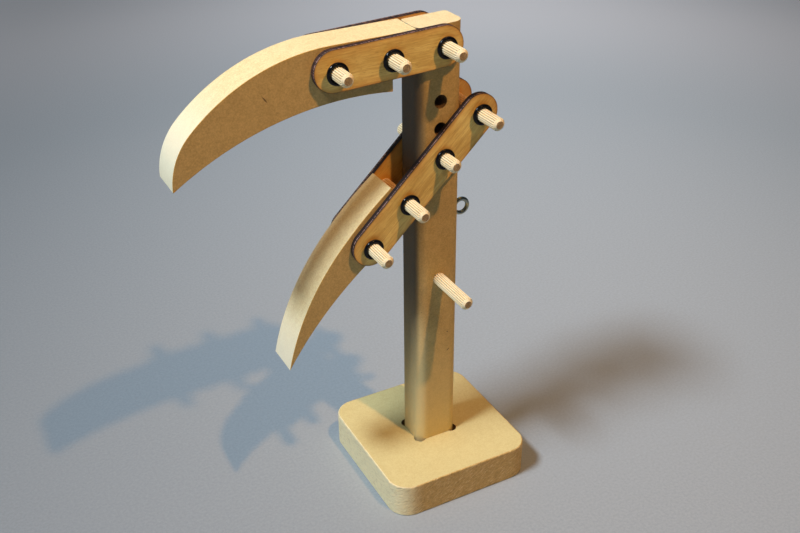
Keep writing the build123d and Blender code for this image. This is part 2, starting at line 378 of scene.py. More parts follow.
# The tones of these finishes are partly painted light: those that look up are paler and cooler than
# those that look sideways.
# name, pale tone, dark tone, share of flecks, depth of fuzz in millimetres, lumps, extras
board_rows = [
    ("claw_board_face", (0.67, 0.485, 0.18), (0.50, 0.35, 0.118), 0.3, 0.12, 0.0, claw_marks),
    ("claw_board_edge", (0.90, 0.81, 0.47), (0.74, 0.61, 0.30), 0.05, 0.24, 0.0, claw_fibre_and_light),
    ("claw_board_rim", (0.60, 0.38, 0.08), (0.42, 0.24, 0.05), 0.0, 0.10, 0.0, []),
    ("post_board_face", (0.69, 0.49, 0.175), (0.52, 0.355, 0.112), 0.3, 0.30, 0.0, post_marks_and_light),
    ("post_board_end", (0.88, 0.79, 0.48), (0.74, 0.62, 0.33), 0.05, 0.26, 0.0, []),
    ("base_board_face", (0.715, 0.63, 0.295), (0.635, 0.535, 0.235), 0.06, 0.12, 0.0, []),
    ("base_board_edge", (0.77, 0.53, 0.185), (0.59, 0.38, 0.115), 0.1, 0.50, 2.2, base_fibre_and_sheen),
    # The wall of a bore is painted dark, as painted shade inside the hole.
    ("board_bore_shade", (0.28, 0.17, 0.075), (0.13, 0.08, 0.035), 0.3, 0.30, 0.0, [])]
board_finishes = [board_finish(*row) for row in board_rows]
(claw_face, claw_edge, claw_rim, post_face,
 post_end, base_face, base_edge, bore_shade) = board_finishes
print("board finishes:", len(board_finishes))

# %% [markdown]
# ## Birch plywood, cut by laser
# The link plates are 3 mm plywood. Their veneer has fine grain along the plate. A laser cut them, so
# the edge is charred nearly black, and smoke has stained the face orange along the edge and round the
# holes. The stain has to follow the plate's shape. Every plate is a slot with holes at a 25 mm pitch,
# so its distance from the edge and from the nearest hole is a short sum in the plate's own
# directions. A group does that sum once for all plates.

# %% Plate distance group
HOLE_PITCH = 25 * MM
HALF_PLATE = 8.9 * MM

plate_distance, inputs, out = new_group(
    "plate distance", [("Place", "Vector"), ("Middle", "Float"), ("Half run", "Float")],
    [("From rim", "Float"), ("From hole", "Float")])
axes = add(plate_distance, "ShaderNodeSeparateXYZ", Vector=inputs["Place"]).outputs
from_middle = sums(plate_distance, "SUBTRACT", axes["X"], inputs["Middle"])
past_end = sums(plate_distance, "SUBTRACT", sums(plate_distance, "ABSOLUTE", from_middle),
                inputs["Half run"])
past_end = sums(plate_distance, "MAXIMUM", past_end, 0.0)
across = axes["Z"]


def diagonal(tree, first, second):
    squares = sums(tree, "MULTIPLY_ADD", first, first, sums(tree, "MULTIPLY", second, second))
    return sums(tree, "SQRT", squares)


spine_distance = diagonal(plate_distance, past_end, across)
from_rim = sums(plate_distance, "SUBTRACT", HALF_PLATE, spine_distance)
join(plate_distance, from_rim, out.inputs["From rim"])
step = sums(plate_distance, "ADD", axes["X"], HOLE_PITCH / 2)
step = sums(plate_distance, "FLOORED_MODULO", step, HOLE_PITCH)
lengthwise = sums(plate_distance, "SUBTRACT", step, HOLE_PITCH / 2)
join(plate_distance, diagonal(plate_distance, lengthwise, across), out.inputs["From hole"])
print("plate distance:", len(plate_distance.nodes), "nodes")

# %% [markdown]
# Grain is noise that is squeezed along one direction. The same group serves the plates and the
# dowels: it takes a place whose X runs with the grain, and gives fine streaks, wide bands and pores.

# %% Grain group
grain, inputs, out = new_group(
    "wood grain", [("Place", "Vector")],
    [("Streaks", "Float"), ("Bands", "Float"), ("Pores", "Float")])
long_way = mapped(grain, inputs["Place"], Scale=(0.09, 1.0, 1.0))
short_way = mapped(grain, inputs["Place"], Scale=(0.22, 1.0, 1.0))
join(grain, noise(grain, long_way, 1500, 4, 0.65, 0.4), out.inputs["Streaks"])
join(grain, noise(grain, long_way, 170, 3, 0.5, 0.8), out.inputs["Bands"])
pores = noise(grain, short_way, 2100, 2, 0.6)
join(grain, stretch(grain, pores, 0.60, 0.72), out.inputs["Pores"])
print("wood grain:", len(grain.nodes), "nodes")

# %% [markdown]
# The smoke stain is strongest at the cut and fades over one to three millimetres, further in some
# places than in others. A group turns a distance into that mask, with noise to vary its reach.

# %% Smoke group
smoke, inputs, out = new_group(
    "laser smoke", [("Place", "Vector"), ("Distance", "Float"), ("Reach", "Float")],
    [("Stain", "Float")])
patches = stretch(smoke, noise(smoke, inputs["Place"], 120, 3, 0.6), 0.3, 0.7, 0.45, 1.7)
reach = sums(smoke, "MULTIPLY", inputs["Reach"], patches)
near = sums(smoke, "DIVIDE", inputs["Distance"], reach)
fade = sums(smoke, "POWER", 2.718, sums(smoke, "MULTIPLY", near, -1.6))
join(smoke, sums(smoke, "MINIMUM", fade, 1.0), out.inputs["Stain"])
print("laser smoke:", len(smoke.nodes), "nodes")

# %% [markdown]
# With those groups the veneer is short: pale gold, darkened by grain, then stained orange, then
# browned close to the cut. A Mapping node turns Object coordinates into the plate's own directions.
# The upper plates drop by 2.5 degrees and the lower ones by 44.2, so each pair has its own material.
# The smoke drifted while the holes were cut, so their stain is measured from a slightly shifted
# place. The faces towards the post are painted browner, as painted shade between the plates and
# the claw. The burnt edge is paler in a speckled stripe at the outer ply, partly the ply's own colour
# and partly a painted highlight along the softened rim. The upper plates' edge has paler ash than
# the lower plates' edge, as painted light on the upper edges and painted shade on the lower ones.

# %% Plywood finishes
UPPER_PIVOT = 224 * MM
LOWER_PIVOT = 174 * MM
UPPER_DROP = radians(2.5)
LOWER_DROP = radians(44.2)
DOWEL_RADIUS = 3 * MM
SMOKE_DRIFT = (-1.3 * MM, 0, -0.9 * MM)
INNER_FACE = 9.4 * MM
PLY = 1.0 * MM
OUTER_PLY = 11.55 * MM


def plate_place(tree, place, pivot_height, drop):
    """The place measured from the pivot, with X along the plate and Z across it."""
    moved = mapped(tree, place, Location=(0, 0, -pivot_height))
    return mapped(tree, moved, Rotation=(0, drop, 0))


def veneer(name, pivot_height, drop, middle, half_run):
    material, tree, shader, place = new_material(name)
    place = plate_place(tree, place, pivot_height, drop)
    wood = use_group(tree, grain, Place=place)
    reach = use_group(tree, plate_distance, Place=place, Middle=middle, Half_run=half_run)
    blown = mapped(tree, place, Location=SMOKE_DRIFT)
    blown_reach = use_group(tree, plate_distance, Place=blown, Middle=middle, Half_run=half_run)

    tone = sums(tree, "MULTIPLY_ADD", wood["Streaks"], 0.6, sums(tree, "MULTIPLY", wood["Bands"], 0.45))
    base = mix(tree, stretch(tree, tone, 0.42, 0.62), (0.74, 0.515, 0.13), (1.0, 0.80, 0.26))
    base = mix(tree, sums(tree, "MULTIPLY", wood["Pores"], 0.45), base, (0.46, 0.27, 0.05))

    rim_stain = use_group(tree, smoke, Place=place, Distance=reach["From rim"], Reach=2.7 * MM)["Stain"]
    from_bore = sums(tree, "SUBTRACT", blown_reach["From hole"], DOWEL_RADIUS)
    bore_stain = use_group(tree, smoke, Place=place, Distance=from_bore, Reach=2.4 * MM)["Stain"]
    stain = sums(tree, "MAXIMUM", sums(tree, "MULTIPLY", rim_stain, 0.9),
                 sums(tree, "MULTIPLY", bore_stain, 0.8))
    base = mix(tree, sums(tree, "MULTIPLY", stain, 0.8), base, (0.72, 0.30, 0.03))
    # The faces towards the post are painted browner, as painted shade between the plates and the claw.
    depth = sums(tree, "ABSOLUTE", coordinate(tree, place, "Y"))
    inner_face_shade = stretch(tree, depth, INNER_FACE + 0.2 * MM, INNER_FACE - 0.2 * MM, 0.0, 0.6)
    base = mix(tree, inner_face_shade, base, (0.50, 0.21, 0.045))
    char = use_group(tree, smoke, Place=place, Distance=reach["From rim"], Reach=0.42 * MM)["Stain"]
    base = mix(tree, sums(tree, "MULTIPLY", char, 0.9), base, (0.07, 0.022, 0.010))
    height = sums(tree, "MULTIPLY_ADD", wood["Pores"], -0.6, wood["Streaks"])
    dress(tree, shader, base, stretch(tree, wood["Streaks"], 0.3, 0.7, 0.50, 0.62), height, 0.05 * MM)
    return material


def charred_edge(name, ash):
    """Near black with brown ash, combed across the sheet, and paler at the outer ply, partly as painted
    highlight.
    """
    material, tree, shader, place = new_material(name)
    comb = noise(tree, mapped(tree, place, Scale=(1.0, 0.12, 1.0)), 1500, 3, 0.7)
    depth = sums(tree, "ABSOLUTE", coordinate(tree, place, "Y"))
    layer = sums(tree, "FRACT", sums(tree, "DIVIDE", depth, PLY))
    from_glue = sums(tree, "ABSOLUTE", sums(tree, "SUBTRACT", layer, 0.25))
    glue = stretch(tree, from_glue, 0.0, 0.16, 1.0, 0.0)
    base = mix(tree, stretch(tree, comb, 0.47, 0.62), (0.006, 0.004, 0.006),
               (ash, 0.42 * ash, 0.32 * ash))
    base = mix(tree, sums(tree, "MULTIPLY", glue, 0.7), base, (0.010, 0.005, 0.005))
    # A paler speckled stripe at the outer ply, partly the ply's own colour and partly a painted
    # highlight along the softened rim.
    outer_ply = stretch(tree, sums(tree, "ABSOLUTE", sums(tree, "SUBTRACT", depth, OUTER_PLY)),
                        0.15 * MM, 0.40 * MM, 0.7, 0.0)
    pale_ply_and_sheen = sums(tree, "MULTIPLY", outer_ply, stretch(tree, comb, 0.44, 0.56))
    base = mix(tree, pale_ply_and_sheen, base, (0.52, 0.34, 0.29))
    dress(tree, shader, base, 0.6, comb, 0.18 * MM)
    return material


upper_veneer = veneer("upper_plate_veneer", UPPER_PIVOT, UPPER_DROP, -25 * MM, 25 * MM)
lower_veneer = veneer("lower_plate_veneer", LOWER_PIVOT, LOWER_DROP, -12.5 * MM, 37.5 * MM)
# The upper plates' edge has paler ash than the lower plates', as painted light on the upper edges and
# painted shade on the lower.
upper_char_lit = charred_edge("upper_plate_edge", 0.10)
lower_char_shaded = charred_edge("lower_plate_edge", 0.02)
print("plywood finishes: 4")

# %% [markdown]
# ## Dowel wood
# The dowels are pale birch. All of them lie along Y, so their grain does too, and one pair of
# finishes serves them all. The flutes are pressed in and hold some dirt and painted shade. The mesh
# will carry a number called groove, 1 at the bottom of a flute, and the finish darkens where it is
# high. Between the plates they are painted browner and more orange, as painted shade and painted
# reflection of the orange wood, so depth along Y darkens them there too.
# The sawn ends are browner, with the dots of end grain.

# %% Dowel finishes
dowel_side, tree, shader, place = new_material("dowel_side")
wood = use_group(tree, grain, Place=mapped(tree, place, Rotation=(0, 0, radians(-90))))
base = mix(tree, stretch(tree, wood["Streaks"], 0.35, 0.65), (0.84, 0.71, 0.40),
           (0.96, 0.88, 0.60))
base = mix(tree, stretch(tree, wood["Bands"], 0.5, 0.75, 0.0, 0.4), base, (0.76, 0.58, 0.28))
groove = add(tree, "ShaderNodeAttribute", {"attribute_name": "groove"}).outputs["Fac"]
# Painted shade and some dirt in the flutes, darkest where the groove number is high.
groove_shade_and_dirt = sums(tree, "MULTIPLY", sums(tree, "POWER", groove, 1.2), 0.85)
base = mix(tree, groove_shade_and_dirt, base, (0.36, 0.19, 0.055))
# Painted shade and painted orange reflection between the plates, where |y| is under 9 mm.
depth = sums(tree, "ABSOLUTE", coordinate(tree, place, "Y"))
base = mix(tree, stretch(tree, depth, 9.5 * MM, 8.5 * MM, 0.0, 0.75), base, (0.50, 0.26, 0.08))
dress(tree, shader, base, 0.6, wood["Streaks"], 0.08 * MM)

dowel_end, tree, shader, place = new_material("dowel_end")
dots = noise(tree, place, 2600, 3, 0.7)
rings = noise(tree, place, 420, 2, 0.5, 1.5)
base = mix(tree, stretch(tree, dots, 0.36, 0.62), (0.20, 0.13, 0.055), (0.48, 0.35, 0.17))
base = mix(tree, stretch(tree, rings, 0.45, 0.65, 0.0, 0.5), base, (0.62, 0.46, 0.24))
dress(tree, shader, base, 0.75, dots, 0.25 * MM)
print("dowel finishes: 2")

# %% [markdown]
# ## Rubber and zinc
# The rings are glossy black rubber with a trace of wood dust. The screw eye is steel with a thin
# zinc coat, so it is metal, rather smooth, and slightly yellow in places.

# %% Rubber and zinc
rubber, tree, shader, place = new_material("black_rubber")
dust = noise(tree, place, 900, 4, 0.7)
base = mix(tree, stretch(tree, dust, 0.66, 0.80, 0.0, 0.3), (0.002, 0.003, 0.005),
           (0.02, 0.018, 0.016))
dress(tree, shader, base, stretch(tree, dust, 0.45, 0.7, 0.13, 0.22), dust, 0.01 * MM)
shader.inputs["Specular IOR Level"].default_value = 0.25

zinc, tree, shader, place = new_material("zinc_steel")
tarnish = noise(tree, place, 450, 4, 0.6)
base = mix(tree, stretch(tree, tarnish, 0.45, 0.65), (0.30, 0.33, 0.30), (0.62, 0.50, 0.22))
dress(tree, shader, base, stretch(tree, tarnish, 0.3, 0.7, 0.14, 0.26), noise(tree, place, 2400, 2),
      0.03 * MM)
shader.inputs["Metallic"].default_value = 1.0
print("rubber and zinc: 2")

# %% [markdown]
# ## From mesh to piece
# Each piece is shaped as a bmesh and then made an object. It is shaded smooth, except where faces
# meet at more than 40 degrees, and a Weighted Normal modifier keeps its large faces looking flat. Then
# it rides on its body, and the solid that it stands for is hidden, so the piece replaces it. A board's
# faces are numbered by finish: pressed face, cut edge, wall of a bore, softened rim. The rough objects
# of a Boolean get four empty finishes, so that their faces keep those numbers.

# %% Finish a piece
FACE, EDGE, BORE, RIM = range(4)
NO_FINISHES = [None] * 4
SHARP_ANGLE = radians(40)
BIT_LENGTH = 54 * MM


def object_from(name, bm, finishes):
    """Turn a bmesh into an object with these finishes."""
    mesh = bpy.data.meshes.new(name)
    bm.to_mesh(mesh)
    bm.free()
    for finish in finishes:
        mesh.materials.append(finish)
    made = bpy.data.objects.new(name, mesh)
    bpy.context.scene.collection.objects.link(made)
    return made


def finish_piece(name, bm, finishes, body):
    piece = object_from(name, bm, finishes)
    piece.data.shade_smooth()
    piece.data.set_sharp_from_angle(angle=SHARP_ANGLE)
    flat_faces = piece.modifiers.new("flat faces", "WEIGHTED_NORMAL")
    flat_faces.keep_sharp = True
    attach(piece, body)
    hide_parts(name[:-len("_piece")])
    print(name, len(piece.data.polygons), "faces")


def carve(bm, cutters):
    """Take cutters out of a shape with Boolean modifiers, and return what is left."""
    holder = object_from("blank", bm, NO_FINISHES)
    for cutter in cutters:
        cut = holder.modifiers.new("cut", "BOOLEAN")
        cut.operation = "DIFFERENCE"
        cut.solver = "EXACT"
        cut.object = cutter
    carved = bpy.data.meshes.new_from_object(
        holder.evaluated_get(bpy.context.evaluated_depsgraph_get()))
    bm = bmesh.new()
    bm.from_mesh(carved)
    used_meshes = [carved] + [used.data for used in (holder, *cutters)]
    for used in (holder, *cutters):
        bpy.data.objects.remove(used)
    for used in used_meshes:
        bpy.data.meshes.remove(used)
    return bm


def cutter_from(bm, finish_index):
    """A closed mesh as an object to cut with. The walls it leaves take the finish of that index."""
    for face in bm.faces:
        face.material_index = finish_index
    return object_from("cutter", bm, NO_FINISHES)


def drill_bit(centre, radius, finish_index):
    """A round cutter along Y, long enough for any board, at the X and Z of a place."""
    bm = bmesh.new()
    bmesh.ops.create_cone(bm, cap_ends=True, segments=48, radius1=radius, radius2=radius,
                          depth=BIT_LENGTH)
    upright = Matrix.Translation((centre[0], 0, centre[2])) @ Matrix.Rotation(pi / 2, 4, "X")
    bmesh.ops.transform(bm, matrix=upright, verts=bm.verts)
    return cutter_from(bm, finish_index)


def soften(bm, radius, segments=2, least_angle=25):
    """Round every edge whose faces meet at more than the least angle."""
    edges = [e for e in bm.edges if e.calc_face_angle(0) > radians(least_angle)]
    bmesh.ops.bevel(bm, geom=edges, affect="EDGES", offset=radius, segments=segments, profile=0.5,
                    material=-1, clamp_overlap=True)

# %% [markdown]
# ## Drawing an outline
# The claws, the plates and the base are boards cut to an outline. We draw an outline on a flat sheet
# as a craftsman would, in millimetres, with straight lines and arcs. A line is one vertex extruded to
# a new place. An arc is one vertex spun about a centre. Then the closed outline is filled and the face
# extruded.

# %% Outline helpers
ARC_STEP = radians(2.0)


def arc_steps(radius, angle):
    """An arc of a small radius needs fewer steps to look round."""
    return max(3, round(abs(angle) / ARC_STEP * min(1.0, 0.4 + radius / (60 * MM))))


def sheet_point(x, y):
    return Vector((x * MM, y * MM, 0))


def pen_down(bm, x, y):
    return bm.verts.new(sheet_point(x, y))


def line_to(bm, vert, x, y):
    tip = bmesh.ops.extrude_vert_indiv(bm, verts=[vert])["verts"][0]
    tip.co = sheet_point(x, y)
    return tip


def arc_about(bm, vert, centre, angle):
    """Spin the pen about a centre, anticlockwise when the angle is positive."""
    steps = arc_steps((vert.co - centre).length, angle)
    spun = bmesh.ops.spin(bm, geom=[vert], cent=centre, axis=(0, 0, 1), dvec=(0, 0, 0), angle=angle,
                          steps=steps, use_merge=False, use_duplicate=False)
    return [part for part in spun["geom_last"] if isinstance(part, bmesh.types.BMVert)][0]


def turn_between(centre, start, end, clockwise):
    angle = -(start - centre).to_2d().angle_signed((end - centre).to_2d())
    if clockwise and angle > 0:
        angle -= 2 * pi
    if not clockwise and angle < 0:
        angle += 2 * pi
    return angle


def arc_by_centre(bm, vert, centre, end, clockwise=False):
    return arc_about(bm, vert, centre, turn_between(centre, vert.co.copy(), end, clockwise))


def centre_of(first, second, third):
    """Centre of the circle through three points of the sheet."""
    chord = second - first
    other = third - first
    cross = 2 * (chord.x * other.y - chord.y * other.x)
    across = Vector((other.y * chord.length_squared - chord.y * other.length_squared,
                     chord.x * other.length_squared - other.x * chord.length_squared, 0))
    return first + across / cross


def cut_board(bm, thickness):
    """Close the outline, fill it and give the board its thickness, centred on the sheet."""
    bmesh.ops.remove_doubles(bm, verts=bm.verts, dist=0.002 * MM)
    bmesh.ops.contextual_create(bm, geom=bm.edges[:])
    region = bmesh.ops.extrude_face_region(bm, geom=bm.faces[:])["geom"]
    lifted = [part for part in region if isinstance(part, bmesh.types.BMVert)]
    bmesh.ops.translate(bm, vec=(0, 0, thickness), verts=lifted)
    bmesh.ops.translate(bm, vec=(0, 0, -thickness / 2), verts=bm.verts)
    bmesh.ops.recalc_face_normals(bm, faces=bm.faces)


def stand_up(bm, link, side=0.0):
    """Turn the sheet upright, so that it faces Y, and move it onto its link."""
    upright = Matrix.Translation((0, side, 0)) @ Matrix.Rotation(pi / 2, 4, "X")
    bmesh.ops.transform(bm, matrix=link @ upright, verts=bm.verts)


def number_faces(bm, rim=EDGE):
    """Faces that don't look along Z are cut edges, and slanting ones are the softened rim."""
    bm.normal_update()
    for face in bm.faces:
        look = abs(face.normal.z)
        if look > 0.97:
            face.material_index = FACE
        elif look > 0.15:
            face.material_index = rim
        else:
            face.material_index = EDGE

# %% [markdown]
# ## Base
# The base is a square block with round corners and a mortise for the post. A router can't cut a
# square inside corner, so each corner of the mortise has a small round relief. Both outlines have an
# arc at each corner, a quarter circle on the block and a half circle on the mortise, so one function
# draws both. The mortise is cut right through with a Boolean.

# %% Base
BASE_HALF = 38.0
BASE_CORNER = 10.5
BASE_THICKNESS = 18.0
MORTISE_X = 11.1
MORTISE_Y = 9.1
RELIEF = 3.0
BASE_SOFTENING = 0.6 * MM


def four_corners(bm, half_x, half_y, cut, centre_inset, turn):
    """A rectangle whose corners are cut back, and closed by arcs that turn by an angle."""
    pen = pen_down(bm, half_x, cut - half_y)
    for x, y, upright in ((1, 1, True), (-1, 1, False), (-1, -1, True), (1, -1, False)):
        start = (half_x, half_y - cut) if upright else (half_x - cut, half_y)
        pen = line_to(bm, pen, x * start[0], y * start[1])
        centre = sheet_point(x * (half_x - centre_inset), y * (half_y - centre_inset))
        pen = arc_about(bm, pen, centre, turn)


bm = bmesh.new()
relief_inset = RELIEF / sqrt(2)
four_corners(bm, MORTISE_X, MORTISE_Y, 2 * relief_inset, relief_inset, pi)
cut_board(bm, 3 * BASE_THICKNESS * MM)
mortise = cutter_from(bm, BORE)

bm = bmesh.new()
four_corners(bm, BASE_HALF, BASE_HALF, BASE_CORNER, BASE_CORNER, pi / 2)
cut_board(bm, BASE_THICKNESS * MM)
bmesh.ops.translate(bm, vec=(0, 0, BASE_THICKNESS / 2 * MM), verts=bm.verts)
soften(bm, BASE_SOFTENING, 3)
number_faces(bm)
bm = carve(bm, [mortise])
finish_piece("base_piece", bm, [base_face, base_edge, bore_shade], "stand")

# %% [markdown]
# ## Post
# The post is a bar of the same board with its four long edges rounded over by a router. A scaled cube
# with bevelled long edges is the quickest way to the bar. Its top was sawn a little out of square and
# sanded round along the far edge. We draw the waste above the top as an outline, seen end on, and cut
# it away. Then the rim is softened, and five holes go through the post from front to back.

# %% Post
POST_X = 22.0
POST_Y = 18.0
POST_TOP = 232.0
POST_TOP_RISE = 0.9
POST_TOP_ROUND = 2.5
POST_ROUND = 4.5 * MM
POST_SOFTENING = 0.35 * MM
SPARE_RADIUS = 3.1 * MM
PIVOT_RADIUS = 3.08 * MM
PEG_HEIGHT = 111.5 * MM
SPARE_HEIGHTS = (186.5 * MM, 199 * MM)

bm = bmesh.new()
bar_height = POST_TOP + 2 * POST_TOP_RISE
bmesh.ops.create_cube(bm, size=MM)
bmesh.ops.scale(bm, vec=(POST_X, POST_Y, bar_height), verts=bm.verts)
bmesh.ops.translate(bm, vec=(0, 0, bar_height / 2 * MM), verts=bm.verts)
long_edges = [edge for edge in bm.edges if edge.calc_length() > bar_height / 2 * MM]
bmesh.ops.bevel(bm, geom=long_edges, affect="EDGES", offset=POST_ROUND, segments=10, profile=0.5,
                material=-1)

waste = bmesh.new()
round_start = POST_Y / 2 - POST_TOP_ROUND
pen = pen_down(waste, -POST_Y, 0)
pen = line_to(waste, pen, round_start, 0)
pen = arc_about(waste, pen, sheet_point(round_start, -POST_TOP_ROUND), -pi / 2)
for corner in ((POST_Y, -POST_TOP_ROUND), (POST_Y, POST_Y), (-POST_Y, POST_Y), (-POST_Y, 0)):
    pen = line_to(waste, pen, *corner)
cut_board(waste, 2 * POST_X * MM)
slant = Matrix.Rotation(-atan2(POST_TOP_RISE, POST_X), 4, "Y")
end_on = Matrix.Rotation(pi / 2, 4, "Z") @ Matrix.Rotation(pi / 2, 4, "X")
middle_top = Matrix.Translation((0, 0, (POST_TOP + POST_TOP_RISE / 2) * MM))
bmesh.ops.transform(waste, matrix=middle_top @ slant @ end_on, verts=waste.verts)
bm = carve(bm, [cutter_from(waste, EDGE)])
soften(bm, POST_SOFTENING, 2, 60)

bm.normal_update()
for face in bm.faces:
    face.material_index = EDGE if abs(face.normal.z) > 0.1 else FACE
bm = carve(bm, [drill_bit((0, 0, height), radius, BORE) for height, radius in (
    (UPPER_PIVOT, DOWEL_RADIUS), (LOWER_PIVOT, PIVOT_RADIUS), (PEG_HEIGHT, DOWEL_RADIUS),
    (SPARE_HEIGHTS[0], SPARE_RADIUS), (SPARE_HEIGHTS[1], SPARE_RADIUS))])
finish_piece("post_piece", bm, [post_face, post_end, bore_shade], "stand")

# %% [markdown]
# ## Places on the links
# Every claw hole, plate hole and link dowel lies on one of two lines, the links. A link starts at its
# pivot and drops towards the claw, and a hole's position is its distance from the pivot.

# %% Links
CLAW_THICKNESS = 18 * MM
CLAW_SOFTENING = 0.3 * MM

upper_link = Matrix.Translation((0, 0, UPPER_PIVOT)) @ Matrix.Rotation(-UPPER_DROP, 4, "Y")
lower_link = Matrix.Translation((0, 0, LOWER_PIVOT)) @ Matrix.Rotation(-LOWER_DROP, 4, "Y")


def on_link(link, position):
    """World place of a hole that lies that far from the pivot towards the claw."""
    return link @ Vector((-position, 0, 0))


def finish_claw(name, bm, placing, link, body):
    """Give an outline its thickness, stand it in place and drill the two holes for its dowels."""
    cut_board(bm, CLAW_THICKNESS)
    soften(bm, CLAW_SOFTENING)
    number_faces(bm, RIM)
    stand_up(bm, placing)
    bm = carve(bm, [drill_bit(on_link(link, position), DOWEL_RADIUS, BORE)
                    for position in (2 * HOLE_PITCH, HOLE_PITCH)])
    finish_piece(name, bm, [claw_face, claw_edge, bore_shade, claw_rim], body)


print("drops in degrees:", round(degrees(UPPER_DROP), 1), "and", round(degrees(LOWER_DROP), 1))

# %% [markdown]
# ## Upper claw
# The upper claw is a beak. Its back runs straight from the post, then follows a wide arc and a tighter
# one to the tip. Its underside is one shallow arc up to the throat, where a step leaves room for the
# post. All of it is drawn from the upper pivot, then raised to it.

# %% Upper claw
CLAW_REAR = -11.05
CLAW_TOP = 8.0
CROWN_X = -48.5
CROWN_Y = -79.3
CROWN_RADIUS = 86.8
NOSE_RADIUS = 31.2
NOSE_START = radians(134.8)
NOSE_END = radians(180.7)
THROAT = (-22.65, -16.4)
NECK_DROP = 9.7
NECK_FILLET = 1.8
BELLY_RISE = 8.9 * MM

bm = bmesh.new()
pen = pen_down(bm, CLAW_REAR, CLAW_TOP)
run = CLAW_REAR - CROWN_X
rise = CLAW_TOP - CROWN_Y
touch = atan2(rise, run) + acos(CROWN_RADIUS / hypot(run, rise))
pen = line_to(bm, pen, CROWN_X + CROWN_RADIUS * cos(touch), CROWN_Y + CROWN_RADIUS * sin(touch))
crown_centre = sheet_point(CROWN_X, CROWN_Y)
pen = arc_about(bm, pen, crown_centre, NOSE_START - touch)
inward = Vector((cos(NOSE_START), sin(NOSE_START), 0)) * (CROWN_RADIUS - NOSE_RADIUS) * MM
pen = arc_about(bm, pen, crown_centre + inward, NOSE_END - NOSE_START)
tip = pen.co.copy()
throat = sheet_point(*THROAT)
chord = throat - tip
middle = (tip + throat) / 2 + Vector((-chord.y, chord.x, 0)).normalized() * BELLY_RISE
pen = arc_by_centre(bm, pen, centre_of(tip, middle, throat), throat, clockwise=True)
pen = line_to(bm, pen, THROAT[0], -NECK_DROP - NECK_FILLET)
pen = arc_about(bm, pen, sheet_point(THROAT[0] + NECK_FILLET, -NECK_DROP - NECK_FILLET), -pi / 2)
pen = line_to(bm, pen, CLAW_REAR, -NECK_DROP)
pen = line_to(bm, pen, CLAW_REAR, CLAW_TOP)
upright = Matrix.Translation((0, 0, UPPER_PIVOT))
finish_claw("upper_claw_piece", bm, upright, upper_link, "stand")

# %% [markdown]
# ## Lower claw
# The lower claw is a longer horn. It is drawn level, as it would lie on its link plates, and then
# turned down with them. Its heel is cut square, right through the middle of a dowel hole, so the
# dowel sits in a half-round notch.

# %% Lower claw
HEEL = 24.416
HEEL_TOP = 9.8
BELLY = -8.9
BACK_MIDDLE = (-44, 10.6)
BACK_END = (-59, 9.9)
HORN_TIP = (-117.2, -10.2)
BELLY_MIDDLE = (-77, -5.3)
BELLY_END = (-41, BELLY)

bm = bmesh.new()
pen = pen_down(bm, -HEEL, HEEL_TOP)
back_end = sheet_point(*BACK_END)
back_centre = centre_of(pen.co.copy(), sheet_point(*BACK_MIDDLE), back_end)
pen = arc_by_centre(bm, pen, back_centre, back_end)
tip = sheet_point(*HORN_TIP)
inward = (back_centre - back_end).normalized()
reach = tip - back_end
horn_centre = back_end + inward * reach.length_squared / (2 * reach.dot(inward))
pen = arc_by_centre(bm, pen, horn_centre, tip)
belly_end = sheet_point(*BELLY_END)
belly_centre = centre_of(tip, sheet_point(*BELLY_MIDDLE), belly_end)
pen = arc_by_centre(bm, pen, belly_centre, belly_end, clockwise=True)
pen = line_to(bm, pen, -HEEL, BELLY)
pen = line_to(bm, pen, -HEEL, HEEL_TOP)
finish_claw("lower_claw_piece", bm, lower_link, lower_link, "jaw")

# %% [markdown]
# ## Link plates
# Each plate is a slot shape: two half circles joined by straight sides. The edges of a laser cut stay
# sharp, so they are only just softened. The plates of the fixed claw touch it, and those of the
# moving claw stand a little off the post.

# %% Link plates
PLATE_THICKNESS = 3 * MM
PLATE_SOFTENING = 0.12 * MM
UPPER_GAP = 0.1 * MM
LOWER_GAP = 0.3 * MM


def plate(name, link, positions, gap, side, finishes, body):
    bm = bmesh.new()
    first = -max(positions) / MM
    last = -min(positions) / MM
    half = HALF_PLATE / MM
    pen = pen_down(bm, last, half)
    pen = line_to(bm, pen, first, half)
    pen = arc_about(bm, pen, sheet_point(first, 0), pi)
    pen = line_to(bm, pen, last, -half)
    pen = arc_about(bm, pen, sheet_point(last, 0), pi)
    cut_board(bm, PLATE_THICKNESS)
    soften(bm, PLATE_SOFTENING, 1)
    number_faces(bm)
    stand_up(bm, link, side * (CLAW_THICKNESS / 2 + gap + PLATE_THICKNESS / 2))
    bm = carve(bm, [drill_bit(on_link(link, position), DOWEL_RADIUS, EDGE) for position in positions])
    finish_piece(name, bm, finishes, body)


upper_positions = [2 * HOLE_PITCH, HOLE_PITCH, 0]
lower_positions = [2 * HOLE_PITCH, HOLE_PITCH, 0, -HOLE_PITCH]
for side, word in ((-1, "near"), (1, "far")):
    plate("upper_plate_" + word + "_piece", upper_link, upper_positions, UPPER_GAP, side,
          [upper_veneer, upper_char_lit], "stand")
    plate("lower_plate_" + word + "_piece", lower_link, lower_positions, LOWER_GAP, side,
          [lower_veneer, lower_char_shaded], "jaw")

# %% [markdown]
# ## Fluted dowels
# A fluted dowel has shallow grooves along it. We draw a circle with six points to each flute. One
# in six is pulled to the bottom of the groove, and its two neighbours are pulled part of the way. The
# circle is then extruded along the dowel. Near each end the chamfer takes over: first it reaches the
# bottom of the grooves, then it runs to the flat end.

# %% Dowel
FLUTES = 18
FLUTE_DEPTH = 0.3 * MM
FLUTE_SHAPE = (1.0, 0.45, 0, 0, 0, 0.45)
CIRCLE_POINTS = FLUTES * len(FLUTE_SHAPE)
DOWEL_LENGTH = 50 * MM
CHAMFER = 1.1 * MM
END_ROUND = 0.15 * MM
DOWEL_SIDE, DOWEL_END = range(2)


